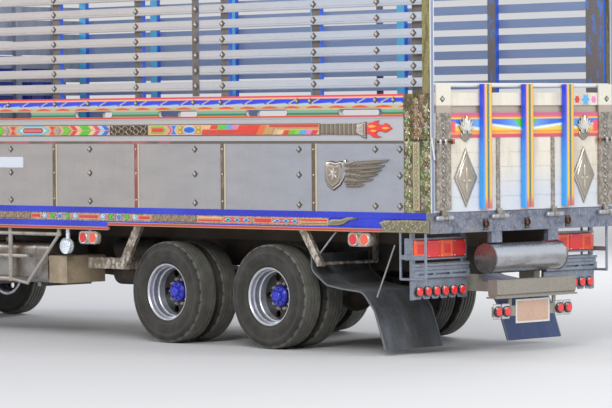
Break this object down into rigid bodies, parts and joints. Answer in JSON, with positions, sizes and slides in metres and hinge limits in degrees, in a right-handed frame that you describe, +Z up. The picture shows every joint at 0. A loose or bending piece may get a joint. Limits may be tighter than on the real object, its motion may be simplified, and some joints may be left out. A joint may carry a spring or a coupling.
{
  "type": "decorated cargo truck",
  "caption": "Ten-wheel cab-over cargo truck with a high slatted load body, ornamented side bands, drop tailgate, tilting cab, hinged doors, steered front wheels and twin rear wheels.",
  "frame": {"origin": "on the road under the middle of the truck's length and width", "axes": "+X to the truck's left side, the front faces -Y, +Z up"},
  "size_m": [2.84, 9.7, 3.7],
  "materials": {
    "chassis_paint": "worn dark chassis paint",
    "cast_iron": "dull casting",
    "tank_metal": "dull silver, dusty",
    "tyre": "dusty black rubber",
    "rim": "silver paint",
    "galvanised": "galvanised steel",
    "deck": "worn steel deck",
    "rail_blue": "gloss blue with painted ornament",
    "body_grey": "light grey metal",
    "painted_band": "painted ornament",
    "stainless": "embossed stainless steel",
    "cream": "cream paint",
    "gate_trim": "painted posts",
    "flap_rubber": "thick dusty rubber sheet",
    "bumper": "champagne grey metal",
    "front_bumper": "polished",
    "plate": "blank plate",
    "lamp_red": "clear red lens",
    "lamp_amber": "amber and crystal lens",
    "lamp_clear": "clear lens",
    "cab_paint": "gloss blue",
    "cab_trim": "grained plastic and vinyl",
    "glass": "clear"
  },
  "bodies": {
    "chassis": {"air_tanks": "chassis_paint", "axles": "chassis_paint", "battery_box": "tank_metal", "bed_floor": "deck", "chassis_frame": "chassis_paint", "engine_block": "cast_iron", "exhaust": "tank_metal", "flap_arms": "galvanised", "front_bumper": "front_bumper", "front_fenders": "chassis_paint", "front_wall": "body_grey", "fuel_tank": "tank_metal", "headlamps": "lamp_clear", "lamp_frames": "galvanised", "leaf_springs": "chassis_paint", "mud_flaps": "flap_rubber", "number_plate": "plate", "propeller_shafts": "chassis_paint", "rack_posts": "body_grey", "rack_slats": "body_grey", "rear_bumper": "bumper", "rear_columns": "stainless", "rear_drum": "stainless", "rear_lamps": "lamp_red", "rear_sill": "galvanised", "side_guards": "galvanised", "side_lamps": "lamp_amber", "side_panels": "body_grey", "side_rails": "rail_blue", "spare_wheel": "tyre", "waist_bands": "painted_band"},
    "cab": {"cab_back": "cab_paint", "cab_floor": "cab_paint", "cab_front": "cab_paint", "cab_shell": "cab_paint", "cab_glass": "glass", "cab_interior": "cab_trim", "grille": "front_bumper", "mirrors": "front_bumper"},
    "door_left": {"door_left": "cab_paint", "door_glass_left": "glass"},
    "door_right": {"door_right": "cab_paint", "door_glass_right": "glass"},
    "tailgate": {"gate_panel": "cream", "gate_posts": "gate_trim"},
    "knuckle_left": {"knuckle_left": "chassis_paint"},
    "knuckle_right": {"knuckle_right": "chassis_paint"},
    "tie_rod": {"tie_rod": "chassis_paint"},
    "front_wheel_left": {"front_rim_left": "rim", "front_tyre_left": "tyre"},
    "mid_wheels_left": {"mid_rims_left": "rim", "mid_tyres_left": "tyre"},
    "rear_wheels_left": {"rear_rims_left": "rim", "rear_tyres_left": "tyre"},
    "front_wheel_right": {"front_rim_right": "rim", "front_tyre_right": "tyre"},
    "mid_wheels_right": {"mid_rims_right": "rim", "mid_tyres_right": "tyre"},
    "rear_wheels_right": {"rear_rims_right": "rim", "rear_tyres_right": "tyre"}
  },
  "joints": [
    {"name": "cab_tilt", "type": "hinge", "parent": "chassis", "child": "cab", "pos_m": [0, -4.6, 0.88], "axis": [1, 0, 0], "range_deg": [0, 45]},
    {"name": "door_left_hinge", "type": "hinge", "parent": "cab", "child": "door_left", "pos_m": [1.212, -4.572, 1.6], "axis": [0, 0, -1], "range_deg": [0, 70]},
    {"name": "door_right_hinge", "type": "hinge", "parent": "cab", "child": "door_right", "pos_m": [-1.212, -4.572, 1.6], "axis": [0, 0, 1], "range_deg": [0, 70]},
    {"name": "tailgate_hinge", "type": "hinge", "parent": "chassis", "child": "tailgate", "pos_m": [0, 4.75, 1.23], "axis": [-1, 0, 0], "range_deg": [0, 160]},
    {"name": "steer_left", "type": "hinge", "parent": "chassis", "child": "knuckle_left", "pos_m": [0.86, -3.58, 0.48], "axis": [0, 0, 1], "range_deg": [-35, 35]},
    {"name": "steer_right", "type": "hinge", "parent": "chassis", "child": "knuckle_right", "pos_m": [-0.86, -3.58, 0.48], "axis": [0, 0, 1], "range_deg": [-35, 35]},
    {"name": "tie_rod_swing", "type": "hinge", "parent": "knuckle_left", "child": "tie_rod", "pos_m": [0.86, -3.33, 0.375], "axis": [0, 0, 1], "range_deg": [-35, 35]},
    {"name": "front_wheel_left_spin", "type": "hinge", "parent": "knuckle_left", "child": "front_wheel_left", "pos_m": [1.04, -3.58, 0.48], "axis": [1, 0, 0], "continuous": true},
    {"name": "mid_wheels_left_spin", "type": "hinge", "parent": "chassis", "child": "mid_wheels_left", "pos_m": [0.92, 1.25, 0.48], "axis": [1, 0, 0], "continuous": true},
    {"name": "rear_wheels_left_spin", "type": "hinge", "parent": "chassis", "child": "rear_wheels_left", "pos_m": [0.92, 2.62, 0.48], "axis": [1, 0, 0], "continuous": true},
    {"name": "front_wheel_right_spin", "type": "hinge", "parent": "knuckle_right", "child": "front_wheel_right", "pos_m": [-1.04, -3.58, 0.48], "axis": [1, 0, 0], "continuous": true},
    {"name": "mid_wheels_right_spin", "type": "hinge", "parent": "chassis", "child": "mid_wheels_right", "pos_m": [-0.92, 1.25, 0.48], "axis": [1, 0, 0], "continuous": true},
    {"name": "rear_wheels_right_spin", "type": "hinge", "parent": "chassis", "child": "rear_wheels_right", "pos_m": [-0.92, 2.62, 0.48], "axis": [1, 0, 0], "continuous": true}
  ],
  "couplings": [
    {"joint": "steer_right", "follows": "steer_left", "ratio": 1},
    {"joint": "tie_rod_swing", "follows": "steer_left", "ratio": -1}
  ]
}
